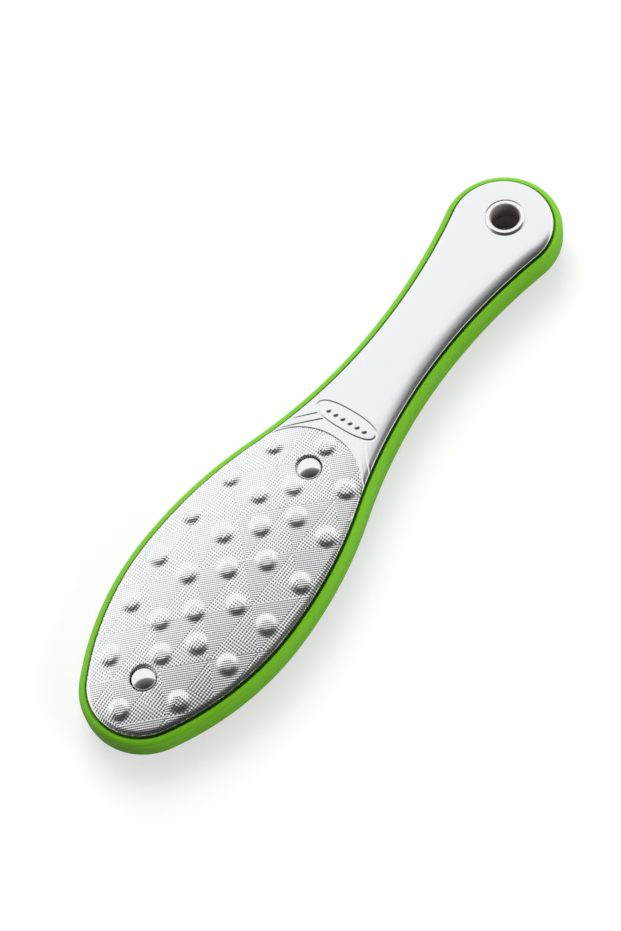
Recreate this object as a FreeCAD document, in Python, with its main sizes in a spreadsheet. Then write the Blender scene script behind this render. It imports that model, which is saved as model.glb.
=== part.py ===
import FreeCAD, Part
import math
import os
import re

import Sketcher

# A two-sided foot file: a moulded core with a rim, and a pressed metal plate on each side of it.
# Millimetres. The file lies flat with its coarse side up, its tip towards -Y and its handle
# towards +Y. Lengths named ..._at are measured from the tip, along the file.

doc = FreeCAD.newDocument("foot_file")
sheet = doc.addObject("Spreadsheet::Sheet", "Sizes")

DRIVING_SIZES = {
    # Outline of the rim, seen from above: a chain of tangent arcs. The head's back and the neck make
    # an S-curve, and the share says how much of it bulges out.
    "overall_length": 260.0,
    "head_width": 68.4,
    "head_widest_at": 65.1,
    "tip_radius": 22.7,
    "head_back_share": 0.4493,
    "neck_width": 30.9,
    "neck_from_end": 79.2,
    "end_radius": 22.0,
    # Moulded core.
    "rim_height": 9.8,
    "rim_lip": 2.7,
    "rim_edge_radius": 2.5,
    "seat_depth": 1.8,
    "seat_width": 2.0,
    "web_thickness": 2.4,
    "rib_thickness": 1.6,
    "rib_clearance": 0.3,
    "rivet_boss_diameter": 13.0,
    "eyelet_boss_diameter": 17.0,
    # Pressed plates.
    "lip_gap": 0.3,
    "plate_rise": 3.6,
    "sheet_thickness": 0.6,
    "shoulder_radius": 3.0,
    "cup_diameter": 9.8,
    "cup_depth": 1.7,
    # Rasp domes: a centre column, four rows of four, and a pair beside each rivet.
    "dome_diameter": 7.8,
    "dome_height": 1.6,
    "dome_pitch": 18.85,
    "tip_dome_at": 9.9,
    "centre_domes_from": 33.6,
    "dome_rows_from": 43.5,
    "row_1_inner": 8.1,
    "row_2_inner": 10.7,
    "row_3_inner": 9.5,
    "row_4_inner": 8.3,
    "row_1_margin": 10.9,
    "row_2_margin": 10.6,
    "row_3_margin": 9.4,
    "row_4_margin": 9.0,
    "lower_pair_margin": 10.7,
    "upper_pair_margin": 8.9,
    # Badge groove across the handle root, and the two creases that leave it on each side.
    "badge_at": 140.9,
    "badge_length": 25.1,
    "badge_height": 8.0,
    "groove_width": 0.5,
    "groove_depth": 0.25,
    "crease_start": 6.7,
    "crease_spacing": 3.6,
    "crease_length": 14.0,
    # Rivets.
    "lower_rivet_at": 23.6,
    "upper_rivet_at": 118.4,
    "rivet_head_diameter": 8.4,
    "rivet_head_edge": 0.5,
    "rivet_head_crown": 1.1,
    "rivet_pin_diameter": 4.0,
    "rivet_sleeve_wall": 0.8,
    "rivet_end_gap": 3.0,
    "rivet_clearance": 0.1,
    # Eyelet of the hanging hole.
    "eyelet_from_end": 19.8,
    "eyelet_bore": 10.6,
    "eyelet_wall": 0.5,
    "eyelet_flange_diameter": 13.6,
    "eyelet_proud": 0.6,
    "eyelet_round": 0.25,
    "eyelet_clearance": 0.1,
    "eyelet_end_gap": 0.15,
}

# Counts and names.
DOME_ROWS = 4
CENTRE_DOMES = 6
CREASES_A_SIDE = 2
CREASE_ANGLE = -45
RIBS_BETWEEN = 5
RIVETS = ("lower_rivet", "upper_rivet")

# Sizes that follow from the driving ones.
DERIVED_SIZES = {
    "neck_at": "overall_length - neck_from_end",
    "eyelet_at": "overall_length - eyelet_from_end",
    "head_front_radius": "((head_width / 2) ^ 2 + (head_widest_at - tip_radius) ^ 2 - tip_radius ^ 2)"
                         " / (head_width - 2 * tip_radius)",
    "both_radii": "((head_width - neck_width) ^ 2 / 4 + (neck_at - head_widest_at) ^ 2)"
                  " / (head_width - neck_width)",
    "head_back_radius": "head_back_share * both_radii",
    "neck_radius": "both_radii - head_back_radius",
    "bulge_ends_at": "head_widest_at + head_back_share * (neck_at - head_widest_at)",
    "plate_inset": "rim_lip + lip_gap",
    "plate_height": "seat_depth + plate_rise",
    "half_thickness": "rim_height / 2 + plate_rise",
    "mid_height": "half_thickness + eyelet_proud",
    "dome_sphere_radius": "((dome_diameter / 2) ^ 2 + dome_height ^ 2) / (2 * dome_height)",
    "rivet_crown_radius": "((rivet_head_diameter / 2) ^ 2 + rivet_head_crown ^ 2) / (2 * rivet_head_crown)",
    "rivet_sleeve_diameter": "rivet_pin_diameter + 2 * (rivet_clearance + rivet_sleeve_wall)",
    "rivet_hole_diameter": "rivet_sleeve_diameter + 2 * rivet_clearance",
    "rivet_grip": "2 * (half_thickness - cup_depth)",
    "eyelet_sleeve_diameter": "eyelet_bore + 2 * eyelet_wall",
    "eyelet_hole_diameter": "eyelet_sleeve_diameter + 2 * eyelet_clearance",
}


def half_width(at):
    """A formula for half the rim's width at a place along the head or the neck."""
    bulge = "head_width / 2 - {0} + sqrt({0} ^ 2 - (" + at + " - head_widest_at) ^ 2)"
    hollow = f"neck_width / 2 + neck_radius - sqrt(neck_radius ^ 2 - (neck_at - {at}) ^ 2)"
    back = f"({at} < bulge_ends_at ? {bulge.format('head_back_radius')} : {hollow})"
    return f"({at} < head_widest_at ? {bulge.format('head_front_radius')} : {back})"


for row in range(1, DOME_ROWS + 1):
    DERIVED_SIZES[f"row_{row}_at"] = f"dome_rows_from + {row - 1} * dome_pitch"
    DERIVED_SIZES[f"row_{row}_outer"] = half_width(f"row_{row}_at") + f" - row_{row}_margin"
for pair in ("lower", "upper"):
    DERIVED_SIZES[f"{pair}_pair_outer"] = half_width(f"{pair}_rivet_at") + f" - {pair}_pair_margin"

ALIASES = set(DRIVING_SIZES) | set(DERIVED_SIZES)
cell_row = 0
for alias, number in DRIVING_SIZES.items():
    cell_row += 1
    sheet.set(f"A{cell_row}", alias)
    sheet.set(f"B{cell_row}", str(number))
    sheet.setAlias(f"B{cell_row}", alias)
for alias, formula in DERIVED_SIZES.items():
    cell_row += 1
    sheet.set(f"A{cell_row}", alias)
    sheet.set(f"B{cell_row}", "=" + formula)
    sheet.setAlias(f"B{cell_row}", alias)
doc.recompute()


def size(alias):
    """The value of one size in the sheet."""
    return float(sheet.get(alias))


def over_sheet(formula):
    """A formula over the sizes, with each alias written as the sheet's own name for it."""
    def sheet_name(word):
        return "Sizes." + word.group() if word.group() in ALIASES else word.group()
    return re.sub(r"[a-z]\w*", sheet_name, formula)


def bind(thing, **formulas):
    """Tie properties of an object to formulas over the sizes. A double underscore stands for a dot."""
    for name, formula in formulas.items():
        thing.setExpression(name.replace("__", "."), over_sheet(formula))
    return thing


# Bodies, sketches and features

def origin_part(body, role):
    """One of the body's own origin planes or axes."""
    return next(part for part in body.Origin.OriginFeatures if part.Role == role)


def attach(thing, body, across="0", along="0", lift="0"):
    """Set a sketch or a primitive on the body's XY plane, moved by three formulas."""
    thing.AttachmentSupport = [(origin_part(body, "XY_Plane"), "")]
    thing.MapMode = "FlatFace"
    return bind(thing, AttachmentOffset__Base__x=across, AttachmentOffset__Base__y=along,
                AttachmentOffset__Base__z=lift)


def feature(body, kind, name, **formulas):
    """Add one feature at the end of the body, with its sizes tied to formulas."""
    added = body.newObject("PartDesign::" + kind, name)
    body.Tip = added
    return bind(added, **formulas)


def primitive(body, kind, name, across="0", along="0", lift="0", **formulas):
    """Add or take away a primitive solid whose base stands at a place in the body."""
    return attach(feature(body, kind, name, **formulas), body, across, along, lift)


def arc(centre, radius, start, end):
    return Part.ArcOfCircle(Part.Circle(centre, FreeCAD.Vector(0, 0, 1), radius), start, end)


def heading(start, end):
    """The angle of the line from one point to another."""
    return math.atan2(end.y - start.y, end.x - start.x)


def outline_arcs(inset):
    """The tip, the end and the right-hand side of the outline, moved in by an inset.

    The arcs are tangent to each other, and an inset keeps their centres: it makes the rounded-out
    arcs smaller and the hollow ones at the neck larger.
    """
    half_head = size("head_width") / 2
    half_neck = size("neck_width") / 2
    widest_at = size("head_widest_at")
    neck_at = size("neck_at")
    tip_radius = size("tip_radius")
    front_radius = size("head_front_radius")
    back_radius = size("head_back_radius")
    end_radius = size("end_radius")
    end_at = size("overall_length") - end_radius
    neck_radius = size("neck_radius")
    end_run = end_at - neck_at
    shaft_radius = (half_neck ** 2 + end_run ** 2 - end_radius ** 2) / (2 * (end_radius - half_neck))

    tip = FreeCAD.Vector(0, tip_radius, 0)
    front = FreeCAD.Vector(half_head - front_radius, widest_at, 0)
    back = FreeCAD.Vector(half_head - back_radius, widest_at, 0)
    neck = FreeCAD.Vector(half_neck + neck_radius, neck_at, 0)
    shaft = FreeCAD.Vector(half_neck + shaft_radius, neck_at, 0)
    end = FreeCAD.Vector(0, end_at, 0)
    tip_turn = heading(front, tip)
    neck_turn = heading(back, neck)
    end_turn = heading(shaft, end)
    return {
        "tip": arc(tip, tip_radius - inset, math.pi - tip_turn, 2 * math.pi + tip_turn),
        "end": arc(end, end_radius - inset, end_turn - math.pi, 2 * math.pi - end_turn),
        "front": arc(front, front_radius - inset, tip_turn, 0),
        "back": arc(back, back_radius - inset, 0, neck_turn),
        "neck": arc(neck, neck_radius + inset, math.pi, math.pi + neck_turn),
        "shaft": arc(shaft, shaft_radius + inset, end_turn, math.pi),
    }


def mirrored_arc(right):
    """The same arc on the left-hand side."""
    centre = FreeCAD.Vector(-right.Center.x, right.Center.y, 0)
    return arc(centre, right.Radius, math.pi - right.LastParameter, math.pi - right.FirstParameter)


# A sketch numbers the points of an edge upwards from 1, and its own two axes downwards from -1.
START, END, CENTRE = range(1, 4)
SIDEWAYS_AXIS, UPRIGHT_AXIS = range(-1, -3, -1)
ORIGIN = (SIDEWAYS_AXIS, START)


def relate(sketch, kind, *places):
    sketch.addConstraint(Sketcher.Constraint(kind, *places))


def dimension(sketch, kind, formula, *places):
    """A driving dimension. It starts at what is drawn, and then follows its formula."""
    if kind == "Radius":
        drawn = sketch.Geometry[places[0]].Radius
    else:
        point = sketch.getPoint(*places[-2:])
        drawn = point.x if kind == "DistanceX" else point.y
    index = sketch.addConstraint(Sketcher.Constraint(kind, *places, drawn))
    sketch.setExpression(f"Constraints[{index}]", over_sheet(formula))


def outline_sketch(body, name, *inset_sizes, lift="0"):
    """A sketch of the file's outline, moved in by the sum of some sizes."""
    sketch = attach(body.newObject("Sketcher::SketchObject", name), body, lift=lift)
    inset = " + ".join(inset_sizes) or "0"
    right = {}
    for part, drawn in outline_arcs(sum(size(alias) for alias in inset_sizes)).items():
        right[part] = sketch.addGeometry(drawn, False)

    tip, end = right["tip"], right["end"]
    front, back, neck, shaft = right["front"], right["back"], right["neck"], right["shaft"]
    for joint in ((tip, END, front, START), (front, END, back, START), (back, END, neck, END),
                  (neck, START, shaft, END), (shaft, START, end, START)):
        relate(sketch, "Tangent", *joint)
    for side in (front, back, neck, shaft):
        left = sketch.addGeometry(mirrored_arc(sketch.Geometry[side]), False)
        relate(sketch, "Symmetric", side, CENTRE, left, CENTRE, UPRIGHT_AXIS)
        relate(sketch, "Equal", side, left)
        relate(sketch, "Horizontal", side, START, left, END)
        relate(sketch, "Horizontal", side, END, left, START)
    for cap in (tip, end):
        relate(sketch, "PointOnObject", cap, CENTRE, UPRIGHT_AXIS)
        relate(sketch, "Horizontal", cap, START, cap, END)

    dimension(sketch, "Radius", f"tip_radius - ({inset})", tip)
    dimension(sketch, "DistanceY", "tip_radius", *ORIGIN, tip, CENTRE)
    dimension(sketch, "DistanceX", f"head_width / 2 - ({inset})", *ORIGIN, front, END)
    dimension(sketch, "DistanceY", "head_widest_at", *ORIGIN, front, CENTRE)
    dimension(sketch, "DistanceY", "head_widest_at", *ORIGIN, back, CENTRE)
    dimension(sketch, "Radius", f"head_back_radius - ({inset})", back)
    dimension(sketch, "DistanceX", f"neck_width / 2 - ({inset})", *ORIGIN, neck, START)
    dimension(sketch, "DistanceY", "neck_at", *ORIGIN, neck, CENTRE)
    dimension(sketch, "DistanceY", "neck_at", *ORIGIN, shaft, CENTRE)
    dimension(sketch, "Radius", f"end_radius - ({inset})", end)
    dimension(sketch, "DistanceY", "overall_length - end_radius", *ORIGIN, end, CENTRE)
    return sketch


def pad(body, name, sketch, length, both_ways=False):
    added = feature(body, "Pad", name, Length=length)
    added.Profile = sketch
    added.SideType = "Symmetric" if both_ways else "One side"
    return added


def pocket(body, name, sketch, length):
    """A cut from the sketch downwards."""
    added = feature(body, "Pocket", name, Length=length)
    added.Profile = sketch
    return added


ROUND_OFF = 1e-4


def round_edges(body, name, base, radius, both_ends=False):
    """Round every edge that lies flat at a feature's top, or at its top and bottom."""
    doc.recompute()
    bounds = base.Shape.BoundBox
    levels = (bounds.ZMax, bounds.ZMin) if both_ends else (bounds.ZMax,)
    flat = []
    for number, edge in enumerate(base.Shape.Edges, start=1):
        box = edge.BoundBox
        if box.ZLength < ROUND_OFF and any(abs(box.ZMax - level) < ROUND_OFF for level in levels):
            flat.append(f"Edge{number}")
    added = feature(body, "Fillet", name, Radius=radius)
    added.Base = (base, flat)
    return added


def mirror(body, name, originals, role):
    added = feature(body, "Mirrored", name)
    added.Originals = originals
    added.MirrorPlane = (origin_part(body, role), [""])
    return added


sub_parts = []


def place(thing, label, along="-overall_length / 2", lift="mid_height", turned=False):
    """Give a finished sub-part its name and its place. A turned one faces the fine side."""
    thing.Label = label
    if turned:
        thing.Placement.Rotation = FreeCAD.Rotation(FreeCAD.Vector(0, 1, 0), 180)
    bind(thing, Placement__Base__y=along, Placement__Base__z=lift)
    sub_parts.append(thing)


# Moulded core

def core_shell():
    """The rim with its rounded edges, a seat for each plate's foot, and the web between the plates."""
    body = doc.addObject("PartDesign::Body", "core_shell")
    block = pad(body, "rim_block", outline_sketch(body, "rim_outline"), "rim_height", both_ways=True)
    round_edges(body, "rim_edges", block, "rim_edge_radius", both_ends=True)
    seat_outline = outline_sketch(body, "seat_outline", "rim_lip", lift="rim_height / 2")
    seat = pocket(body, "seat", seat_outline, "seat_depth")
    hollow_outline = outline_sketch(body, "hollow_outline", "rim_lip", "seat_width", lift="rim_height / 2")
    hollow = pocket(body, "hollow", hollow_outline, "(rim_height - web_thickness) / 2")
    mirror(body, "other_side", [seat, hollow], "XY_Plane")
    return body


def part_object(kind, name, **formulas):
    return bind(doc.addObject("Part::" + kind, name), **formulas)


def joined(kind, name, shapes):
    result = doc.addObject("Part::" + kind, name)
    result.Shapes = shapes
    return result


def cut(name, base, tool):
    result = doc.addObject("Part::Cut", name)
    result.Base = base
    result.Tool = tool
    return result


def pillar(name, radius, half_height, along):
    """An upright cylinder on the file's centre line, as far over the web as under it."""
    return part_object("Cylinder", name, Radius=radius, Height=f"2 * ({half_height})",
                       Placement__Base__y=along, Placement__Base__z=f"-({half_height})")


def cross_ribs():
    """Ribs across the core, evenly spaced between the rivets and on to the eyelet.

    They stop short of the plates: the room inside both plates is a plug that they are cut to.
    """
    half_rib = "half_thickness - sheet_thickness - rib_clearance"
    ribs = []
    for first, last in (("lower_rivet_at", "upper_rivet_at"), ("upper_rivet_at", "eyelet_at")):
        for number in range(RIBS_BETWEEN):
            share = (number + 0.5) / RIBS_BETWEEN
            rib_at = f"{first} + {share} * ({last} - {first})"
            ribs.append(part_object("Box", "rib", Length="head_width", Width="rib_thickness",
                                    Height=f"2 * ({half_rib})",
                                    Placement__Base__x="-head_width / 2",
                                    Placement__Base__y=f"{rib_at} - rib_thickness / 2",
                                    Placement__Base__z=f"-({half_rib})"))
    plug = doc.addObject("PartDesign::Body", "rib_room")
    room_outline = outline_sketch(plug, "room_outline", "plate_inset", "shoulder_radius", "rib_clearance")
    pad(plug, "room", room_outline, f"2 * ({half_rib})", both_ways=True)
    return joined("MultiCommon", "ribs_in_room", [joined("MultiFuse", "ribs", ribs), plug])


def core_frame():
    """The core: shell, ribs, and the bosses that carry the plates at the rivets and at the eyelet."""
    under_plate = "half_thickness - sheet_thickness"
    under_cup = under_plate + " - cup_depth"
    solids = [core_shell(), cross_ribs()]
    holes = []
    for rivet in RIVETS:
        solids.append(pillar(rivet + "_boss", "rivet_boss_diameter / 2", under_cup, rivet + "_at"))
        holes.append(pillar(rivet + "_hole", "rivet_hole_diameter / 2", "half_thickness", rivet + "_at"))
    solids.append(pillar("eyelet_boss", "eyelet_boss_diameter / 2", under_plate, "eyelet_at"))
    holes.append(pillar("eyelet_hole", "eyelet_hole_diameter / 2", "half_thickness", "eyelet_at"))
    core = cut("core", joined("MultiFuse", "core_solids", solids), joined("MultiFuse", "core_holes", holes))
    place(core, "core_frame")


# Pressed plates

def dome_field(body, radius):
    """Half spheres that stand out of the top of a form, one for every rasp dome."""
    lift = "plate_height + dome_height - dome_sphere_radius"

    def dome(name, across, along):
        return primitive(body, "AdditiveSphere", name, across, along, lift, Radius=radius, Angle1="0")

    column = dome("centre_dome", "0", "centre_domes_from")
    pattern = feature(body, "LinearPattern", "centre_domes", Offset="dome_pitch")
    pattern.Originals = [column]
    pattern.Direction = (origin_part(body, "Y_Axis"), [""])
    pattern.Mode = "Spacing"
    pattern.Occurrences = CENTRE_DOMES
    dome("tip_dome", "0", "tip_dome_at")
    right = [dome(f"{pair}_pair", f"{pair}_pair_outer", f"{pair}_rivet_at") for pair in ("lower", "upper")]
    for row in range(1, DOME_ROWS + 1):
        for place_in_row in ("inner", "outer"):
            right.append(dome(f"row_{row}", f"row_{row}_{place_in_row}", f"row_{row}_at"))
    mirror(body, "left_domes", right, "YZ_Plane")


def pressed_form(name, coarse, skin, *inset_sizes):
    """The solid that one face of the sheet wraps. Skin is how deep that face lies under the outer one."""
    body = doc.addObject("PartDesign::Body", name)
    outline = outline_sketch(body, "form_outline", *inset_sizes)
    block = pad(body, "form_block", outline, f"plate_height - {skin}")
    round_edges(body, "shoulder", block, f"shoulder_radius - {skin}")
    if coarse:
        dome_field(body, f"dome_sphere_radius - {skin}")
    for rivet in RIVETS:
        primitive(body, "SubtractiveCylinder", rivet + "_cup", along=rivet + "_at",
                  lift=f"plate_height - cup_depth - {skin}",
                  Radius=f"cup_diameter / 2 + {skin}", Height="cup_depth + dome_height")
    return body


def stadium(sketch, length, height):
    """A slot shape across the file at the badge: two half circles and the two lines that join them."""
    at = size("badge_at")
    half_height = size("badge_height") / 2
    half_run = size("badge_length") / 2 - half_height
    right_end = arc(FreeCAD.Vector(half_run, at, 0), half_height, -math.pi / 2, math.pi / 2)
    right = sketch.addGeometry(right_end, False)
    left = sketch.addGeometry(mirrored_arc(right_end), False)
    lines = []
    for level in (at + half_height, at - half_height):
        line = Part.LineSegment(FreeCAD.Vector(-half_run, level, 0), FreeCAD.Vector(half_run, level, 0))
        lines.append(sketch.addGeometry(line, False))
    upper, lower = lines
    for joint in ((upper, END, right, END), (lower, END, right, START), (upper, START, left, START),
                  (lower, START, left, END)):
        relate(sketch, "Tangent", *joint)
    relate(sketch, "Equal", right, left)
    relate(sketch, "Symmetric", right, CENTRE, left, CENTRE, UPRIGHT_AXIS)
    dimension(sketch, "DistanceX", f"(({length}) - ({height})) / 2", *ORIGIN, right, CENTRE)
    dimension(sketch, "DistanceY", "badge_at", *ORIGIN, right, CENTRE)
    dimension(sketch, "Radius", f"({height}) / 2", right)


def badge_groove(body):
    """The outline of the badge, pressed into the handle root as a shallow groove."""
    sketch = attach(body.newObject("Sketcher::SketchObject", "badge_outline"), body, lift="plate_height")
    for edge in ("+ groove_width", "- groove_width"):
        stadium(sketch, f"badge_length {edge}", f"badge_height {edge}")
    pocket(body, "badge_groove", sketch, "groove_depth")


def creases(body):
    """Two parallel creases on each side, from under the badge out to the plate's shoulder."""
    right = []
    for number in range(CREASES_A_SIDE):
        crease = primitive(body, "SubtractiveBox", "crease", f"crease_start + {number} * crease_spacing",
                           "badge_at - badge_height / 2 - groove_width", "plate_height - groove_depth",
                           Length="crease_length", Width="groove_width", Height="groove_depth + dome_height")
        crease.AttachmentOffset.Rotation = FreeCAD.Rotation(FreeCAD.Vector(0, 0, 1), CREASE_ANGLE)
        right.append(crease)
    mirror(body, "left_creases", right, "YZ_Plane")


def pressed_plate(label, coarse):
    """A tray drawn from sheet metal: a rounded form with domes and rivet cups, less the same form
    one sheet thickness further in. Its foot stands on the core's seat.
    """
    outside = pressed_form(label + "_outside", coarse, "0", "plate_inset")
    if coarse:
        badge_groove(outside)
        creases(outside)
    inside = pressed_form(label + "_inside", coarse, "sheet_thickness", "plate_inset", "sheet_thickness")
    openings = [inside]
    through = "plate_height + dome_height"
    for rivet in RIVETS:
        openings.append(pillar("plate_rivet_hole", "rivet_hole_diameter / 2", through, rivet + "_at"))
    openings.append(pillar("plate_eyelet_hole", "eyelet_hole_diameter / 2", through, "eyelet_at"))
    plate = cut(label, outside, joined("MultiFuse", label + "_openings", openings))
    foot = "(rim_height / 2 - seat_depth)"
    place(plate, label, lift=f"mid_height + {foot}" if coarse else f"mid_height - {foot}", turned=not coarse)


# Rivets

def rivet_head():
    """A low polished crown over a short upright edge."""
    crown = part_object("Sphere", "crown", Radius="rivet_crown_radius",
                        Placement__Base__z="rivet_head_edge + rivet_head_crown - rivet_crown_radius")
    edge = part_object("Cylinder", "head_edge", Radius="rivet_head_diameter / 2",
                       Height="rivet_head_edge + rivet_head_crown")
    return joined("MultiCommon", "rivet_head", [crown, edge])


def shank(name, diameter):
    """The part of a rivet half that reaches towards the other half."""
    length = "rivet_grip - rivet_end_gap"
    return part_object("Cylinder", name, Radius=f"{diameter} / 2", Height=length,
                       Placement__Base__z=f"-({length})")


def rivet(name):
    """A solid half in the coarse plate's cup, and the hollow half that it is pressed into from behind."""
    along = f"{name}_at - overall_length / 2"
    pin = joined("MultiFuse", "rivet_pin", [rivet_head(), shank("pin", "rivet_pin_diameter")])
    place(pin, name, along, "mid_height + rivet_grip / 2")
    tube = joined("MultiFuse", "rivet_tube", [rivet_head(), shank("tube", "rivet_sleeve_diameter")])
    sleeve = cut("rivet_sleeve", tube, shank("tube_bore", "(rivet_pin_diameter + 2 * rivet_clearance)"))
    place(sleeve, name + "_sleeve", along, "mid_height - rivet_grip / 2", turned=True)


# Eyelet of the hanging hole

def eyelet(label, turned):
    """A flanged sleeve pressed in from one side. The flange lies on the plate."""
    body = doc.addObject("PartDesign::Body", label)
    sleeve_length = "half_thickness - eyelet_end_gap"
    primitive(body, "AdditiveCylinder", "eyelet_sleeve", lift=f"-({sleeve_length})",
              Radius="eyelet_sleeve_diameter / 2", Height=sleeve_length)
    primitive(body, "AdditiveCylinder", "eyelet_flange", Radius="eyelet_flange_diameter / 2",
              Height="eyelet_proud")
    round_edges(body, "flange_edge", body.Tip, "eyelet_round")
    primitive(body, "SubtractiveCylinder", "eyelet_bore_cut", lift=f"-({sleeve_length})",
              Radius="eyelet_bore / 2", Height=f"{sleeve_length} + eyelet_proud")
    side = "-" if turned else "+"
    place(body, label, "eyelet_at - overall_length / 2", f"mid_height {side} half_thickness", turned)


core_frame()
pressed_plate("coarse_plate", coarse=True)
pressed_plate("fine_plate", coarse=False)
for rivet_name in RIVETS:
    rivet(rivet_name)
eyelet("front_eyelet", turned=False)
eyelet("rear_eyelet", turned=True)
doc.recompute()

# Nothing is written unless every object and every sub-part is sound.
for thing in doc.Objects:
    if "Invalid" in thing.State or "Error" in thing.State:
        raise RuntimeError(f"{thing.Name} failed: {thing.State}")
for thing in sub_parts:
    if thing.Shape.isNull() or not thing.Shape.isValid() or len(thing.Shape.Solids) != 1:
        raise RuntimeError(f"{thing.Label} is not one sound solid")

os.makedirs("parts", exist_ok=True)
for thing in sub_parts:
    thing.Shape.exportStep(f"parts/{thing.Label}.step")
    print(f"{thing.Label}: {thing.Shape.Volume:.0f} mm3")
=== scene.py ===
import math

import bpy
import numpy as np
from mathutils import Matrix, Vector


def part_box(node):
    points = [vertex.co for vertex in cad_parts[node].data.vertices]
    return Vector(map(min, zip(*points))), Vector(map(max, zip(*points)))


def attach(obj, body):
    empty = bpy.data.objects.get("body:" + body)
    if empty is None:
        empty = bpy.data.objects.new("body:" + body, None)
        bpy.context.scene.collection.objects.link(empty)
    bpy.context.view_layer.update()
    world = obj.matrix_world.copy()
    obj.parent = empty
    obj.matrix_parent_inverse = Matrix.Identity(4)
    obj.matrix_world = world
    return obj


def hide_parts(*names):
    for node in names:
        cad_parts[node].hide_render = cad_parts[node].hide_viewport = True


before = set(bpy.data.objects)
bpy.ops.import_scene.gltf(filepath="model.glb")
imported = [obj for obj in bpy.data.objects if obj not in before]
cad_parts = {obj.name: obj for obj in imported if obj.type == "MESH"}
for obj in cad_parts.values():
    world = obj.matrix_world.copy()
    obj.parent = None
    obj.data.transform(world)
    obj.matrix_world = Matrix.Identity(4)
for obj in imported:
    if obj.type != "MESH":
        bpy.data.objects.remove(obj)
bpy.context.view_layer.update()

# Moulded core
# One moulding in lime green plastic with a satin gloss. Only its rim shows, between the two plates: a
# wall with well rounded edges, a lip on each side, and the seat that each plate's foot stands on.

MM = 0.001
LENGTH = 260.0
HEAD_WIDTH = 68.4
HEAD_WIDEST_AT = 65.1
TIP_RADIUS = 22.7
HEAD_BACK_SHARE = 0.4493
NECK_WIDTH = 30.9
NECK_AT = 180.8
END_RADIUS = 22.0
RIM_HEIGHT = 9.8
RIM_LIP = 2.7
RIM_EDGE_RADIUS = 2.5
LIP_EDGE_RADIUS = 0.35
SEAT_DEPTH = 1.8
SEAT_WIDTH = 2.0
SEAT_ROUND = 0.2

# The tangent arcs of the outline: their radii follow from the sizes above.
HEAD_RUN = HEAD_WIDEST_AT - TIP_RADIUS
FRONT_RADIUS = ((HEAD_WIDTH / 2) ** 2 + HEAD_RUN ** 2 - TIP_RADIUS ** 2) / (HEAD_WIDTH - 2 * TIP_RADIUS)
NARROWING = HEAD_WIDTH - NECK_WIDTH
BOTH_RADII = (NARROWING ** 2 / 4 + (NECK_AT - HEAD_WIDEST_AT) ** 2) / NARROWING
BACK_RADIUS = HEAD_BACK_SHARE * BOTH_RADII
NECK_RADIUS = BOTH_RADII - BACK_RADIUS
END_AT = LENGTH - END_RADIUS
SHAFT_RUN = END_AT - NECK_AT
SHAFT_RADIUS = ((NECK_WIDTH / 2) ** 2 + SHAFT_RUN ** 2 - END_RADIUS ** 2) / (2 * END_RADIUS - NECK_WIDTH)
BADGE_PASSED_AT = 148.0
POINT_SPACING = 0.8


def middle(node):
    """The middle of a CAD node's box, in millimetres: across, along from the tip, and up from the floor."""
    low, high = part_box(node)
    return (np.array(low) + np.array(high)) / 2 / MM + [0, LENGTH / 2, 0]


MID_HEIGHT = middle("core_frame")[2]


def outline(spacing, badge_spacing):
    """The file's outline from above, as points and outward directions, in millimetres from the tip.

    Arcs tangent to each other run from the tip along the right-hand side to the handle's end. The
    first stretch of the neck, up to just past the badge, has a spacing of its own. The left-hand side
    is the mirror image. The loop runs anticlockwise and starts at the tip.
    """
    front = (HEAD_WIDTH / 2 - FRONT_RADIUS, HEAD_WIDEST_AT)
    back = (HEAD_WIDTH / 2 - BACK_RADIUS, HEAD_WIDEST_AT)
    neck = (NECK_WIDTH / 2 + NECK_RADIUS, NECK_AT)
    shaft = (NECK_WIDTH / 2 + SHAFT_RADIUS, NECK_AT)
    tip_turn = math.atan2(TIP_RADIUS - front[1], -front[0])
    neck_turn = math.atan2(neck[1] - back[1], neck[0] - back[0])
    badge_turn = math.asin((NECK_AT - BADGE_PASSED_AT) / NECK_RADIUS)
    end_turn = math.atan2(END_AT - shaft[1], -shaft[0])
    arcs = (
        ((0, TIP_RADIUS), TIP_RADIUS, -math.pi / 2, tip_turn, 1, spacing),
        (front, FRONT_RADIUS, tip_turn, 0, 1, spacing),
        (back, BACK_RADIUS, 0, neck_turn, 1, spacing),
        (neck, NECK_RADIUS, neck_turn + math.pi, badge_turn + math.pi, -1, badge_spacing),
        (neck, NECK_RADIUS, badge_turn + math.pi, math.pi, -1, spacing),
        (shaft, SHAFT_RADIUS, math.pi, end_turn, -1, spacing),
        ((0, END_AT), END_RADIUS, end_turn - math.pi, math.pi / 2, 1, spacing),
    )
    points = []
    outward = []
    for centre, radius, start, stop, side, step in arcs:
        angle = np.linspace(start, stop, math.ceil(abs(stop - start) * radius / step), endpoint=False)
        ray = np.stack([np.cos(angle), np.sin(angle)], axis=1)
        points.append(np.array(centre) + radius * ray)
        outward.append(side * ray)
    right = np.concatenate(points)
    right_out = np.concatenate(outward)
    mirror = np.array([-1.0, 1.0])
    loop = np.concatenate([right, [[0, LENGTH]], right[:0:-1] * mirror])
    loop_out = np.concatenate([right_out, [[0, 1]], right_out[:0:-1] * mirror])
    return loop, loop_out


def ring_at(loop, loop_out, inset, height):
    """A loop moved in by an inset and raised to a height. Either may differ from point to point."""
    inset = np.broadcast_to(inset, len(loop))[:, None]
    height = np.broadcast_to(height, len(loop))[:, None]
    return np.concatenate([loop - inset * loop_out, height], axis=1)


def corner(centre, radius, start, stop, count):
    """Points on a rounded corner of a section, between two angles in degrees."""
    angle = np.radians(np.linspace(start, stop, count))
    return np.array(centre) + radius * np.stack([np.cos(angle), np.sin(angle)], axis=1)


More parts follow.
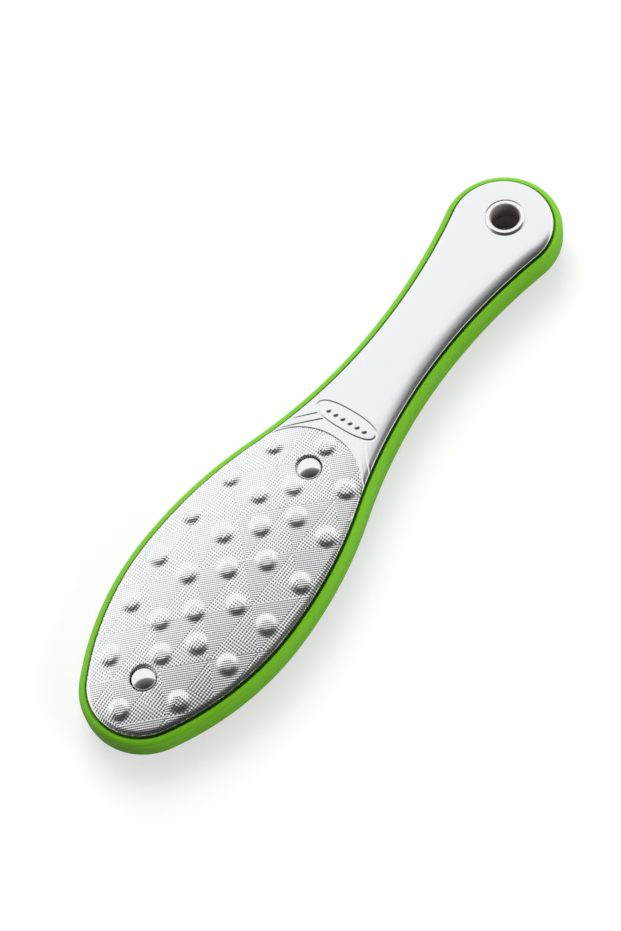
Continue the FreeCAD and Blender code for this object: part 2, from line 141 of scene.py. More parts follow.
def ring_faces(rings, around, closed_section=False):
    """Four-sided faces between rings of points, each ring closed on itself."""
    bands = np.arange(rings if closed_section else rings - 1)
    ring, at = np.meshgrid(bands, np.arange(around), indexing="ij")
    after = (at + 1) % around
    above = (ring + 1) % rings
    corners = [ring * around + at, ring * around + after, above * around + after, above * around + at]
    return np.stack(corners, axis=-1).reshape(-1, 4)


def add_piece(name, points, faces, material, slot, *nodes):
    """A smooth mesh in place of CAD nodes, from points in millimetres from the tip and the mid-height."""
    place = np.asarray(points, float).reshape(-1, 3) + [0, -LENGTH / 2, MID_HEIGHT]
    mesh = bpy.data.meshes.new(name)
    mesh.from_pydata((place * MM).tolist(), [], [list(face) for face in faces])
    mesh.shade_smooth()
    mesh.materials.append(material)
    piece = bpy.data.objects.new(name, mesh)
    bpy.context.scene.collection.objects.link(piece)
    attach(piece, "root")
    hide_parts(*nodes)


def linear(code):
    """A colour written as sRGB hex, in the linear values that shaders take."""
    share = [int(code[at:at + 2], 16) / 255 for at in (1, 3, 5)]
    return tuple(c / 12.92 if c <= 0.04045 else ((c + 0.055) / 1.055) ** 2.4 for c in share) + (1.0,)


def add(tree, kind, inputs=(), output=0, **settings):
    """Add a node with settings, and fill its inputs, in order or by name, with links or values."""
    made = tree.nodes.new("ShaderNode" + kind)
    for setting, value in settings.items():
        setattr(made, setting, value)
    for socket, value in inputs.items() if isinstance(inputs, dict) else enumerate(inputs):
        if isinstance(value, bpy.types.NodeSocket):
            tree.links.new(value, made.inputs[socket])
        else:
            made.inputs[socket].default_value = value
    return made.outputs[output]


def new_material(name):
    """An empty node material, its tree and its surface socket."""
    material = bpy.data.materials.new(name)
    material.use_nodes = True
    tree = material.node_tree
    tree.nodes.clear()
    return material, tree, tree.nodes.new("ShaderNodeOutputMaterial").inputs["Surface"]


# Lime green moulded plastic, satin: a soft cloudiness in the colour, and a faint grain from the mould,
# which is drawn coarser than it is, so that it shows.
lime_plastic, tree, surface = new_material("lime_green_moulded_plastic")
place = add(tree, "TexCoord", output="Object")
cloud = add(tree, "TexNoise", {"Vector": place, "Scale": 1 / (24 * MM), "Detail": 3.0}, "Fac")
green = add(tree, "Mix", {0: cloud, 6: linear("#70BA1E"), 7: linear("#78C322")}, 2, data_type="RGBA")
grain = add(tree, "TexNoise", {"Vector": place, "Scale": 1 / (0.35 * MM), "Detail": 2.0}, "Fac")
gloss = add(tree, "MapRange", {"Value": grain, "To Min": 0.30, "To Max": 0.42})
bump = add(tree, "Bump", {"Strength": 0.15, "Distance": 0.02 * MM, "Height": grain})
tree.links.new(add(tree, "BsdfPrincipled", {"Base Color": green, "Roughness": gloss, "Normal": bump,
                                            "IOR": 1.59, "Specular IOR Level": 0.22}), surface)

half_rim = RIM_HEIGHT / 2
seat_level = half_rim - SEAT_DEPTH
seat_end = RIM_LIP + SEAT_WIDTH
upper_half = np.concatenate([
    [[0, 0]],
    corner((RIM_EDGE_RADIUS, half_rim - RIM_EDGE_RADIUS), RIM_EDGE_RADIUS, 180, 90, 18),
    corner((RIM_LIP - LIP_EDGE_RADIUS, half_rim - LIP_EDGE_RADIUS), LIP_EDGE_RADIUS, 84, 0, 7),
    corner((RIM_LIP + SEAT_ROUND, seat_level + SEAT_ROUND), SEAT_ROUND, 180, 270, 4),
    corner((seat_end - SEAT_ROUND, seat_level - SEAT_ROUND), SEAT_ROUND, 90, 0, 4),
])
rim_section = np.concatenate([upper_half, [[seat_end, 0]], upper_half[:0:-1] * [1, -1]])
rim_loop, rim_out = outline(POINT_SPACING, POINT_SPACING)
rim_points = np.stack([ring_at(rim_loop, rim_out, *corner_point) for corner_point in rim_section])
rim_faces = ring_faces(len(rim_section), len(rim_loop), closed_section=True)
add_piece("core_rim", rim_points, rim_faces, lime_plastic, "rim_plastic", "core_frame")

# Pressed plates
# Two trays drawn from bright polished steel sheet and crowned, whose feet stand on the core's seats.
# The coarse one has rasp domes, a hatched filing field, a badge and creases. The fine one has no domes.

LIP_GAP = 0.65
SHEET = 0.6
FOOT_ROUND = 0.15
HEAD_WALL, HANDLE_WALL = 1.0, 0.9
TIGHT_SHOULDER = 0.2
BROAD_SHOULDER = 2.6
COARSE_TILT, FINE_TILT, HANDLE_TILT = 8.2, 7.0, 15.2
HEAD_POWER, HANDLE_POWER = 2.0, 3.5
HANDLE_HALF = 10.3
HANDLE_POWER_GROWTH = 1.5
HANDLE_FROM, HANDLE_FULL = 105.0, 165.0
COARSE_BOW, FINE_BOW = 0.35, 0.0
BOW_FROM, BOW_LENGTH = 10.0, 160.0
TIGHT_TO_BROAD = (math.radians(20), math.radians(50))
FOOT_RINGS = 4
SHOULDER_RINGS = 16
TOP_RINGS = 54
RIVETS = ("lower_rivet", "upper_rivet")
UPPER_RIVET_SHIFT = 0.5
RIVETS_AT = [middle("lower_rivet")[1], middle("upper_rivet")[1] + UPPER_RIVET_SHIFT]
COARSE_CUP, FINE_CUP = 1.4, 2.0
CUP_FLOOR_RADIUS = 4.25
CUP_LIP_RADIUS = 5.1
ROUND_MARGIN = 0.6
ROUND_RINGS, ROUND_POINTS = 24, 120
ROUND_LIFT = 0.01
CUP_FLOOR_SHOWN = 0.5
EYELET_AT = middle("front_eyelet")[1]
EYELET_HOLE_RADIUS = 6.2
EYELET_FLANGE = 7.1
DIP_START, DIP_END = 6.9, 7.9
DIP_DEPTH = 0.25
DOME_TOP_RADIUS = 1.9
DOME_FOOT_RADIUS = 4.4
DOME_HEIGHT = 0.65
DOME_CROWN = 0.15
DOME_CURVE = 0.015
DOME_PITCH = 19.05
TIP_DOME_AT = 9.9
CENTRE_DOMES_FROM = 33.6
CENTRE_DOMES = 6
DOME_ROWS_FROM = 43.5
ROW_INNER = (8.1, 10.7, 9.5, 8.3)
ROW_MARGIN = (10.9, 10.6, 9.4, 9.2)
PAIRS = ((23.6, 10.7), (119.2, 9.2))
FIELD_ARC_AT = 110.2
FIELD_ARC_RADIUS = 23.5
FIELD_STEP = 0.12
FIELD_EDGE = 0.25
BADGE_AT = 141.3
BADGE_LENGTH = 25.1
BADGE_HEIGHT = 7.9
BADGE_POWER = 2.4
BADGE_EDGE = (-0.3, 0.1)
GROOVE_WIDTH, GROOVE_REACH = 0.6, 0.75
GROOVE_DEPTH = 0.28
CREASE_STARTS = (7.6, 11.6)
CREASE_RUN_IN, CREASE_FADE = 2.0, 2.0
PIPS = 6
PIP_PITCH = 3.1
PIP_RADIUS, PIP_TOP_SHARE = 1.3, 0.4
PIP_HEIGHT = 0.4


def half_width(at):
    """Half the rim's width at a place along the head: the bulging arcs, then the hollow one of the neck."""
    radius = FRONT_RADIUS if at < HEAD_WIDEST_AT else BACK_RADIUS
    bulge_end = HEAD_WIDEST_AT + HEAD_BACK_SHARE * (NECK_AT - HEAD_WIDEST_AT)
    if at > bulge_end:
        return NECK_WIDTH / 2 + NECK_RADIUS - math.sqrt(NECK_RADIUS ** 2 - (NECK_AT - at) ** 2)
    return HEAD_WIDTH / 2 - radius + math.sqrt(radius ** 2 - (at - HEAD_WIDEST_AT) ** 2)


def dome_places():
    """Centres of the rasp domes: one at the tip, a centre column, pairs at the rivets, and rows of four."""
    centre = [(0, CENTRE_DOMES_FROM + DOME_PITCH * number) for number in range(CENTRE_DOMES)]
    centre = [(0, TIP_DOME_AT)] + centre
    right = [(half_width(at) - margin, at) for at, margin in PAIRS]
    for row, (inner, margin) in enumerate(zip(ROW_INNER, ROW_MARGIN)):
        at = DOME_ROWS_FROM + DOME_PITCH * row
        right += [(inner, at), (half_width(at) - margin, at)]
    return centre + right + [(-across, at) for across, at in right]


def smooth_step(low, high, value):
    """0 up to a low value and 1 from a high one, with a smooth rise between."""
    share = np.clip((value - low) / (high - low), 0, 1)
    return share * share * (3 - 2 * share)


def tray_points(loop, loop_out, head_tilt, head_bow):
    """A plain tray: rings from inside its foot, up its wall, over the shoulder, and on to the centre line.

    The wall stands upright, and the shoulder turns it to the slope of the crown, with a round that is
    tight at first and then broader. From there the top rises, and flattens towards the centre line with
    a power of the distance left. Each ring of the top lies at a share of the way from the shoulder to
    the nearest point of the centre line. Towards the handle these sizes change to the handle's own,
    whose power grows with the handle's width. The head is bowed along its length too, with the square
    of a sine.
    """
    edge = RIM_LIP + LIP_GAP
    on_handle = smooth_step(HANDLE_FROM, HANDLE_FULL, loop[:, 1])
    inset = np.full(len(loop), edge)
    bow = head_bow * np.sin(np.pi * np.clip((loop[:, 1] - BOW_FROM) / BOW_LENGTH, 0, 1)) ** 2
    height = half_rim + HEAD_WALL + (HANDLE_WALL - HEAD_WALL) * on_handle + bow
    tilt = np.radians(head_tilt + (HANDLE_TILT - head_tilt) * on_handle)
    rings = [ring_at(loop, loop_out, edge + SHEET, half_rim),
             ring_at(loop, loop_out, edge + SHEET, seat_level + FOOT_ROUND),
             ring_at(loop, loop_out, edge + SHEET / 2, seat_level),
             ring_at(loop, loop_out, edge, seat_level + FOOT_ROUND)]
    turn = (math.pi / 2 - tilt) / SHOULDER_RINGS
    for number in range(SHOULDER_RINGS):
        rings.append(ring_at(loop, loop_out, inset, height))
        turned = (number + 0.5) * turn
        broadened = smooth_step(*TIGHT_TO_BROAD, turned)
        run = turn * (TIGHT_SHOULDER + (BROAD_SHOULDER - TIGHT_SHOULDER) * broadened)
        inset = inset + run * np.sin(turned)
        height = height + run * np.cos(turned)
    rings.append(ring_at(loop, loop_out, inset, height))
    start, level = rings[-1][:, :2], rings[-1][:, 2]
    axis = np.stack([np.zeros(len(loop)), np.clip(start[:, 1], TIP_RADIUS, END_AT)], axis=1)
    distance = np.linalg.norm(start - axis, axis=1)
    handle_power = HANDLE_POWER * (distance / HANDLE_HALF) ** HANDLE_POWER_GROWTH
    power = HEAD_POWER + (handle_power - HEAD_POWER) * on_handle
    crown = distance * np.tan(tilt) / power
    for share in np.arange(1, TOP_RINGS + 1) / (TOP_RINGS + 0.5):
        height = level + crown * (1 - (1 - share) ** power)
        rings.append(np.concatenate([start + share * (axis - start), height[:, None]], axis=1))
    return np.stack(rings)


def level_at(points, at):
    """The height of a plain tray on its centre line, at a place along it."""
    seam = points[-1, :points.shape[1] // 2]
    return float(np.interp(at, seam[:, 1], seam[:, 2]))


def on_parabola(across, along):
    """The terms of a parabola that is even across the file."""
    return np.stack([np.ones_like(across), across ** 2, along, along ** 2], axis=-1)


def round_patch(points, at, radii, sinking):
    """Rings about a place on the centre line, from the outside in, sunk below a plain tray's top.

    The top about the place is a parabola across and along, fitted to the tray's points there.
    """
    offset = points[..., :2] - [0, at]
    close = np.hypot(offset[..., 0], offset[..., 1]) < radii[0]
    fit = np.linalg.lstsq(on_parabola(*offset[close].T), points[close][:, 2], rcond=None)[0]
    angle = np.linspace(0, 2 * np.pi, ROUND_POINTS, endpoint=False)
    across, along = np.outer(radii, np.cos(angle)), np.outer(radii, np.sin(angle))
    height = on_parabola(across, along) @ fit - sinking[:, None]
    return np.stack([across, at + along, height], axis=-1)


def cups_and_dip(points, cup_depth, field_step):
    """The rivets' cups, with a rounded lip and a flat floor, and the shallow dip of the eyelet's flange.

    Their walls are S curves. Their outer rings lie a hair above the tray that they lead into.
    """
    cup_radii = np.linspace(CUP_LIP_RADIUS + ROUND_MARGIN, CUP_FLOOR_RADIUS - CUP_FLOOR_SHOWN, ROUND_RINGS)
    cup = field_step + cup_depth * (1 - smooth_step(CUP_FLOOR_RADIUS, CUP_LIP_RADIUS, cup_radii))
    dip_radii = np.linspace(DIP_END + ROUND_MARGIN, EYELET_HOLE_RADIUS, ROUND_RINGS)
    dip = DIP_DEPTH * (1 - smooth_step(DIP_START, DIP_END, dip_radii))
    patches = [round_patch(points, at, cup_radii, cup - ROUND_LIFT) for at in RIVETS_AT]
    return patches + [round_patch(points, EYELET_AT, dip_radii, dip - ROUND_LIFT)]


def tray_faces(points):
    """Faces of a tray: its rings and a seam along the centre line, and none where the round forms lie."""
    rings, around = points.shape[:2]
    last = (rings - 1) * around
    right = np.arange(around // 2)
    left = (around - right) % around
    seam = np.stack([last + right, last + right + 1, last + left - 1, last + left], axis=1)
    seam[0, 2] = last + around - 1
    quads = np.concatenate([ring_faces(rings, around), seam[1:-1]])
    centre = points.reshape(-1, 3)[quads].mean(axis=1)
    for at, radius in zip([*RIVETS_AT, EYELET_AT], [CUP_LIP_RADIUS, CUP_LIP_RADIUS, DIP_END]):
        beside = np.hypot(centre[:, 0], centre[:, 1] - at) > radius
        quads, centre = quads[beside], centre[beside]
    return quads.tolist() + [seam[0, :3].tolist(), seam[-1, [0, 1, 3]].tolist()]


def joined(points, patches):
    """A tray and its round patches as one mesh."""
    faces = tray_faces(points)
    places = [points.reshape(-1, 3)]
    count = len(places[0])
    for patch in patches:
        faces += (ring_faces(*patch.shape[:2]) + count).tolist()
        places.append(patch.reshape(-1, 3))
        count += len(places[-1])
    return np.concatenate(places), faces


def add_domes(points):
    """Raise the rasp domes out of a tray: a slightly rounded top, and a side that rises in an S curve."""
    for across, at in dome_places():
        distance = np.hypot(points[..., 0] - across, points[..., 1] - at)
        rise = 1 - smooth_step(DOME_TOP_RADIUS, DOME_FOOT_RADIUS, distance)
        lift = rise * (DOME_HEIGHT + DOME_CROWN - DOME_CURVE * distance ** 2)
        points[SHOULDER_RINGS // 2:, :, 2] += lift[SHOULDER_RINGS // 2:]


def from_badge(across, along):
    """How far a place lies outside the badge's outline, an oval with full ends.

    Powers of the place's shares of the half length and half height add up to 1 on the outline. Their
    excess over 1, divided by its steepness, is the distance.
    """
    half_length, half_height = BADGE_LENGTH / 2, BADGE_HEIGHT / 2
    along = np.abs(along - BADGE_AT)
    excess = (across / half_length) ** BADGE_POWER + (along / half_height) ** BADGE_POWER - 1
    steep_across = (across / half_length) ** (BADGE_POWER - 1) / half_length
    steep_along = (along / half_height) ** (BADGE_POWER - 1) / half_height
    return excess / (BADGE_POWER * np.hypot(steep_across, steep_along) + 1e-6)


def groove(distance):
    """How deep a pressed line is, at a distance from its middle."""
    return GROOVE_DEPTH * (1 - smooth_step(0, GROOVE_REACH * GROOVE_WIDTH, np.abs(distance)))


def add_lines(points):
    """Press the badge's outline, the creases and the field's edge into a tray, and raise the badge's pips.

    Each line is deepest at its middle and runs out smoothly. The creases go outwards at 45 degrees and
    fade over the shoulder. The field is a shallow step inside an arc, and the pips are low round bumps.
    All are moved along the tray's own normals, above its foot.
    """
    round_loop = np.roll(points, -1, axis=1) - np.roll(points, 1, axis=1)
    outward = np.cross(round_loop, np.gradient(points, axis=0))
    outward /= np.linalg.norm(outward, axis=-1, keepdims=True)
    across, along = np.abs(points[..., 0]), points[..., 1]
    badge_gap = from_badge(across, along)
    depth = groove(badge_gap)
    outside_badge = smooth_step(*BADGE_EDGE, badge_gap)
    ring = np.arange(len(points))[:, None]
    on_top = smooth_step(FOOT_RINGS, FOOT_RINGS + SHOULDER_RINGS, ring)
    before_shoulder = smooth_step(FOOT_RINGS + 2, FOOT_RINGS + SHOULDER_RINGS, ring)
    below_badge = BADGE_AT - BADGE_HEIGHT / 2 - GROOVE_WIDTH
    for start in CREASE_STARTS:
        sideways = (across - start + along - below_badge) / math.sqrt(2)
        onward = (across - start - along + below_badge) / math.sqrt(2)
        begun = smooth_step(-CREASE_RUN_IN - CREASE_FADE, -CREASE_RUN_IN, onward)
        depth = np.maximum(depth, groove(sideways) * (begun * outside_badge * before_shoulder))
    from_arc = np.hypot(across, along - FIELD_ARC_AT) - FIELD_ARC_RADIUS
    in_field = np.where(along > FIELD_ARC_AT, 1 - smooth_step(-FIELD_EDGE, FIELD_EDGE, from_arc), 1)
    depth = depth + FIELD_STEP * in_field * on_top
    for number in range(PIPS):
        pip_across = (number - (PIPS - 1) / 2) * PIP_PITCH
        distance = np.hypot(points[..., 0] - pip_across, along - BADGE_AT)
        depth = depth - PIP_HEIGHT * (1 - smooth_step(PIP_TOP_SHARE * PIP_RADIUS, PIP_RADIUS, distance))
    points[FOOT_RINGS + 1:] -= (outward * depth[..., None])[FOOT_RINGS + 1:]


HATCH_FROM = (2.9, 101.8)
CELL_SQUEEZE = 0.985
ROW_STRETCH = 1.18
CROSS_SLOPE = 0.85
FADE_FROM, FADE_TO = 0.3, 0.65
STEP_HALF_WIDTH = 0.2
STEP_SLOPE = -0.35


def steel(name, cell, row_pitch, line_pitch, slope):
    """Bright polished steel: a soft polish, with faint waves from the press and a hatched filing field.

    Square cells, like those of a chessboard, are split along a diagonal. One half has pressed rows along
    the file or across it, and the other has finer rows at a slant. In each half, two sine waves at right
    angles tilt the surface, which makes rows of small bumps. Their colour is painted shade, darker in
    the pits between them and lighter on the bumps. The field ends at an arc with a small step, and the
    rows fade out where the sheet turns steep.
    """
    material, tree, surface = new_material(name)
    place = add(tree, "TexCoord", output="Object")
    origin = (HATCH_FROM[0] * MM, (HATCH_FROM[1] - LENGTH / 2) * MM, 0)
    from_origin = add(tree, "VectorMath", (place, origin), operation="SUBTRACT")
    cell_size = (CELL_SQUEEZE * cell * MM, cell * MM, 1)
    cells = add(tree, "VectorMath", (from_origin, cell_size), operation="DIVIDE")
    number = add(tree, "VectorMath", (cells,), operation="FLOOR")
    inside = add(tree, "VectorMath", (cells,), operation="FRACTION")
    counted = add(tree, "VectorMath", (number, (1, 1, 0)), "Value", operation="DOT_PRODUCT")
    odd = add(tree, "Math", (counted, 2.0), operation="FLOORED_MODULO")
    falling = add(tree, "VectorMath", (inside, (1, 1, 0)), "Value", operation="DOT_PRODUCT")
    over_falling = add(tree, "Math", (falling, 1.0), operation="GREATER_THAN")
    rising = add(tree, "VectorMath", (inside, (1, -1, 0)), "Value", operation="DOT_PRODUCT")
    under_rising = add(tree, "Math", (rising, 0.0), operation="GREATER_THAN")
    slanted = add(tree, "Mix", {0: odd, 2: under_rising, 3: over_falling})
    upright = add(tree, "Math", (odd, -math.pi / 2, math.pi / 2), operation="MULTIPLY_ADD")
    angle = add(tree, "Mix", {0: slanted, 2: upright, 3: -math.pi / 4})
    row_density = 2 * math.pi / (row_pitch * MM)
    line_density = 2 * math.pi / (line_pitch * MM)
    density = add(tree, "Mix", {0: slanted, 2: row_density, 3: line_density})
    turned = add(tree, "VectorRotate", {"Vector": from_origin, "Angle": angle},
                 rotation_type="Z_AXIS", invert=True)
    stretched = add(tree, "VectorMath", (turned, (1, ROW_STRETCH, 0)), operation="MULTIPLY")
    phase = add(tree, "VectorMath", {0: stretched, "Scale": density}, operation="SCALE")
    wave = add(tree, "VectorMath", (phase,), operation="SINE")
    bumps = add(tree, "VectorMath", (wave, (slope, CROSS_SLOPE * slope, 0)), operation="MULTIPLY")
    hatch = add(tree, "VectorRotate", {"Vector": bumps, "Angle": angle}, rotation_type="Z_AXIS")
    rise = add(tree, "VectorMath", (phase,), operation="COSINE")
    pit_depth_for_shade = add(tree, "VectorMath", (rise, (0.5, 0.5, 0)), "Value", operation="DOT_PRODUCT")

    arc_centre = (0, (FIELD_ARC_AT - LENGTH / 2) * MM, 0)
    from_centre = add(tree, "VectorMath", (place, arc_centre), operation="SUBTRACT")
    level_from = add(tree, "VectorMath", (from_centre, (1, 1, 0)), operation="MULTIPLY")
    distance = add(tree, "VectorMath", (level_from,), "Value", operation="LENGTH")
    in_arc = add(tree, "Math", (distance, FIELD_ARC_RADIUS * MM), operation="LESS_THAN")
    along = add(tree, "VectorMath", (from_centre, (0, 1, 0)), "Value", operation="DOT_PRODUCT")
    before_arc = add(tree, "Math", (along, 0.0), operation="LESS_THAN")
    field = add(tree, "Math", (in_arc, before_arc), operation="MAXIMUM")
    smooth_normal = add(tree, "NewGeometry", output="Normal")
    upwards = add(tree, "VectorMath", (smooth_normal, (0, 0, 1)), "Value", operation="DOT_PRODUCT")
    levelness = add(tree, "Math", (upwards,), operation="ABSOLUTE")
    on_top = add(tree, "MapRange", {"Value": levelness, "From Min": FADE_FROM, "From Max": FADE_TO})
    hatched = add(tree, "Math", (field, on_top), operation="MULTIPLY")
    field_hatch = add(tree, "VectorMath", {0: hatch, "Scale": hatched}, operation="SCALE")
    on_arc = add(tree, "Math", (distance, FIELD_ARC_RADIUS * MM, STEP_HALF_WIDTH * MM), operation="COMPARE")
    on_edge = add(tree, "Math", (on_arc, before_arc), operation="GREATER_THAN")
    step_slope = add(tree, "Math", (on_edge, STEP_SLOPE), operation="MULTIPLY")
    outward = add(tree, "VectorMath", (level_from,), operation="NORMALIZE")
    step = add(tree, "VectorMath", {0: outward, "Scale": step_slope}, operation="SCALE")
    tilts = add(tree, "VectorMath", (field_hatch, step), operation="ADD")
    tilted = add(tree, "VectorMath", (smooth_normal, tilts), operation="ADD")
    pressed_normal = add(tree, "VectorMath", (tilted,), operation="NORMALIZE")

    waves = add(tree, "TexNoise", {"Vector": place, "Scale": 1 / (30 * MM), "Detail": 1.0}, "Fac")
    normal = add(tree, "Bump", {"Strength": 0.25, "Distance": 0.2 * MM, "Height": waves,
                                "Normal": pressed_normal})
    polish = add(tree, "TexNoise", {"Vector": place, "Scale": 1 / (6 * MM), "Detail": 4.0}, "Fac")
    gloss = add(tree, "MapRange", {"Value": polish, "To Min": 0.14, "To Max": 0.22})
    # Painted shade: the base colour is darker in the pits between the bumps and lighter on the bumps.
    painted_pit_shade = add(tree, "MapRange", {"Value": pit_depth_for_shade, "From Min": -0.1, "From Max": 0.9})
    pit_shade_colours = {0: painted_pit_shade, 6: linear("#FCFCFD"), 7: linear("#CDD0D3")}
    field_tone_with_painted_shade = add(tree, "Mix", pit_shade_colours, 2, data_type="RGBA")
    tone_with_painted_shade = add(tree, "Mix", {0: hatched, 6: linear("#F1F2F4"), 7: field_tone_with_painted_shade}, 2, data_type="RGBA")
    tree.links.new(add(tree, "BsdfPrincipled", {"Base Color": tone_with_painted_shade, "Metallic": 1.0,
                                                "Roughness": gloss, "Normal": normal}), surface)
    return material


# The coarse plate: the sheet is drawn in fine steps, and finest beside the badge.
COARSE_SPACING, BADGE_SPACING = 0.62, 0.2
coarse_steel = steel("bright_steel_with_coarse_hatch", cell=12.1, row_pitch=1.08, line_pitch=0.8,
                     slope=0.155)
coarse_points = tray_points(*outline(COARSE_SPACING, BADGE_SPACING), COARSE_TILT, COARSE_BOW)
coarse_rivet_seats = [level_at(coarse_points, at) - COARSE_CUP for at in RIVETS_AT]
eyelet_level = level_at(coarse_points, EYELET_AT)
coarse_rounds = cups_and_dip(coarse_points, COARSE_CUP, FIELD_STEP)
add_domes(coarse_points)
add_lines(coarse_points)
coarse_sheet = joined(coarse_points, coarse_rounds)
add_piece("coarse_plate_sheet", *coarse_sheet, coarse_steel, "plate_steel", "coarse_plate")

# The fine plate: made the same way up, and then turned over.
fine_steel = steel("bright_steel_with_fine_hatch", cell=6.0, row_pitch=0.4, line_pitch=0.3, slope=0.08)
fine_points = tray_points(*outline(POINT_SPACING, POINT_SPACING), FINE_TILT, FINE_BOW)
fine_rivet_seats = [level_at(fine_points, at) - FINE_CUP for at in RIVETS_AT]
fine_sheet, fine_faces = joined(fine_points, cups_and_dip(fine_points, FINE_CUP, 0.0))
fine_faces = [face[::-1] for face in fine_faces]
add_piece("fine_plate_sheet", fine_sheet * [1, 1, -1], fine_faces, fine_steel, "plate_steel", "fine_plate")

# Rivets
# Turned and plated steel, in two halves that are pressed into each other from the two sides: a pin
# behind one low crowned head, and a sleeve behind the other. The heads lie in the plates' cups.

RIVET_HEAD_RADIUS = 4.15
RIVET_CROWN = 1.3
RIVET_EDGE = 0.7
RIVET_EDGE_ROUND = 0.05
RIVET_END_GAP = 3.0
PIN_RADIUS = 2.0
SLEEVE_RADIUS = 2.9
SLEEVE_BORE = 2.1
SLEEVE_FLOOR = -0.1
CHAMFER, SMALL_CHAMFER = 0.2, 0.1
TURNED_POINTS = 96
NEAR_AXIS = 0.05


def turned_piece(section, at, level, flipped=False):
    """Points and faces of a section (radius, height) turned about an upright line on the centre line.

    A section that ends where it starts closes into a ring. Any other starts and ends near the line,
    and a face closes each of its ends.
    """
    around = TURNED_POINTS
    ring_shaped = np.allclose(section[0], section[-1])
    section = section[:-1] if ring_shaped else section
    angle = np.linspace(0, 2 * np.pi, around, endpoint=False)
    radius = section[:, :1]
    height = np.broadcast_to(level + section[:, 1:] * (-1 if flipped else 1), (len(section), around))
    points = np.stack([radius * np.cos(angle), at + radius * np.sin(angle), height], axis=-1)
    faces = ring_faces(len(section), around, closed_section=ring_shaped).tolist()
    if not ring_shaped:
        first = list(range(around))
        faces += [first[::-1], [(len(section) - 1) * around + number for number in first]]
    return points, [face[::-1] for face in faces] if flipped else faces


# Mirror nickel plate, with the faintest haze.
nickel, tree, surface = new_material("mirror_nickel_plate")
place = add(tree, "TexCoord", output="Object")
haze = add(tree, "TexNoise", {"Vector": place, "Scale": 1 / (1.5 * MM), "Detail": 3.0}, "Fac")
gloss = add(tree, "MapRange", {"Value": haze, "To Min": 0.03, "To Max": 0.08})
tree.links.new(add(tree, "BsdfPrincipled", {"Base Color": linear("#F3F3F3"), "Metallic": 1.0,
                                            "Roughness": gloss}), surface)

crown_radius = (RIVET_HEAD_RADIUS ** 2 + RIVET_CROWN ** 2) / (2 * RIVET_CROWN)
crown_reach = math.degrees(math.asin(RIVET_HEAD_RADIUS / crown_radius))
edge_middle = (RIVET_HEAD_RADIUS - RIVET_EDGE_ROUND, RIVET_EDGE - RIVET_EDGE_ROUND)
head = np.concatenate([
    [[RIVET_HEAD_RADIUS - SMALL_CHAMFER, 0], [RIVET_HEAD_RADIUS, SMALL_CHAMFER]],
    corner(edge_middle, RIVET_EDGE_ROUND, 0, 45, 4),
    corner((0, RIVET_EDGE + RIVET_CROWN - crown_radius), crown_radius, 90 - crown_reach, 89.7, 24),
])
for rivet, at, coarse_seat, fine_seat in zip(RIVETS, RIVETS_AT, coarse_rivet_seats, fine_rivet_seats):
    end = RIVET_END_GAP - coarse_seat - fine_seat
    pin = [[NEAR_AXIS, end], [PIN_RADIUS - CHAMFER, end], [PIN_RADIUS, end + CHAMFER],
           [PIN_RADIUS, -CHAMFER], [PIN_RADIUS + CHAMFER, 0]]
    sleeve = [[NEAR_AXIS, SLEEVE_FLOOR], [SLEEVE_BORE - SMALL_CHAMFER, SLEEVE_FLOOR],
              [SLEEVE_BORE, SLEEVE_FLOOR - SMALL_CHAMFER], [SLEEVE_BORE, end], [SLEEVE_RADIUS, end],
              [SLEEVE_RADIUS, -CHAMFER], [SLEEVE_RADIUS + CHAMFER, 0]]
    pin_piece = turned_piece(np.concatenate([pin, head]), at, coarse_seat)
    add_piece(rivet + "_pin", *pin_piece, nickel, "plated_fittings", rivet)
    sleeve_piece = turned_piece(np.concatenate([sleeve, head]), at, -fine_seat, flipped=True)
    add_piece(rivet + "_tube", *sleeve_piece, nickel, "plated_fittings", rivet + "_sleeve")

# Eyelets
# Plated sleeves with a flange, pressed into the handle's end from both sides. They line the hole that
# the file hangs by, and nearly meet in its middle. Inside, the tube is dull, and its darker grey is
# painted shade.

EYELET_BORE = 5.3
EYELET_WALL = 0.5
EYELET_PROUD = 0.6
EYELET_END_GAP = 0.15
FLANGE_ROUND = 0.45
BORE_ROUND = 0.55
SHADED_BORE_SHARE = 0.9

# Nickel plate on the flange, and inside the hole a dull tube whose darker grey, not metal, is painted
# shade.
eyelet_nickel, tree, surface = new_material("nickel_plate_with_painted_shade_in_bore")
place = add(tree, "TexCoord", output="Object")
haze = add(tree, "TexNoise", {"Vector": place, "Scale": 1 / (1.5 * MM), "Detail": 3.0}, "Fac")
hole_place = (0, (EYELET_AT - LENGTH / 2) * MM, 0)
from_axis = add(tree, "VectorMath", (place, hole_place), operation="SUBTRACT")
level_from = add(tree, "VectorMath", (from_axis, (1, 1, 0)), operation="MULTIPLY")
distance = add(tree, "VectorMath", (level_from,), "Value", operation="LENGTH")
# Painted shade: inside the hole the tube is not metal but a darker grey, standing for the hole's shade.
shaded_bore = add(tree, "Math", (distance, (EYELET_BORE + SHADED_BORE_SHARE * BORE_ROUND) * MM), operation="LESS_THAN")
tone_with_painted_shade = add(tree, "Mix", {0: shaded_bore, 6: linear("#F6F6F6"), 7: linear("#A8A2A0")}, 2, data_type="RGBA")
gloss = add(tree, "MapRange", {"Value": haze, "To Min": 0.03, "To Max": 0.08})
dull_gloss = add(tree, "MapRange", {"Value": haze, "To Min": 0.40, "To Max": 0.60})
roughness = add(tree, "Mix", {0: shaded_bore, 2: gloss, 3: dull_gloss})
bare = add(tree, "Math", (1.0, shaded_bore), operation="SUBTRACT")
tree.links.new(add(tree, "BsdfPrincipled", {"Base Color": tone_with_painted_shade, "Metallic": bare,
                                            "Roughness": roughness}), surface)

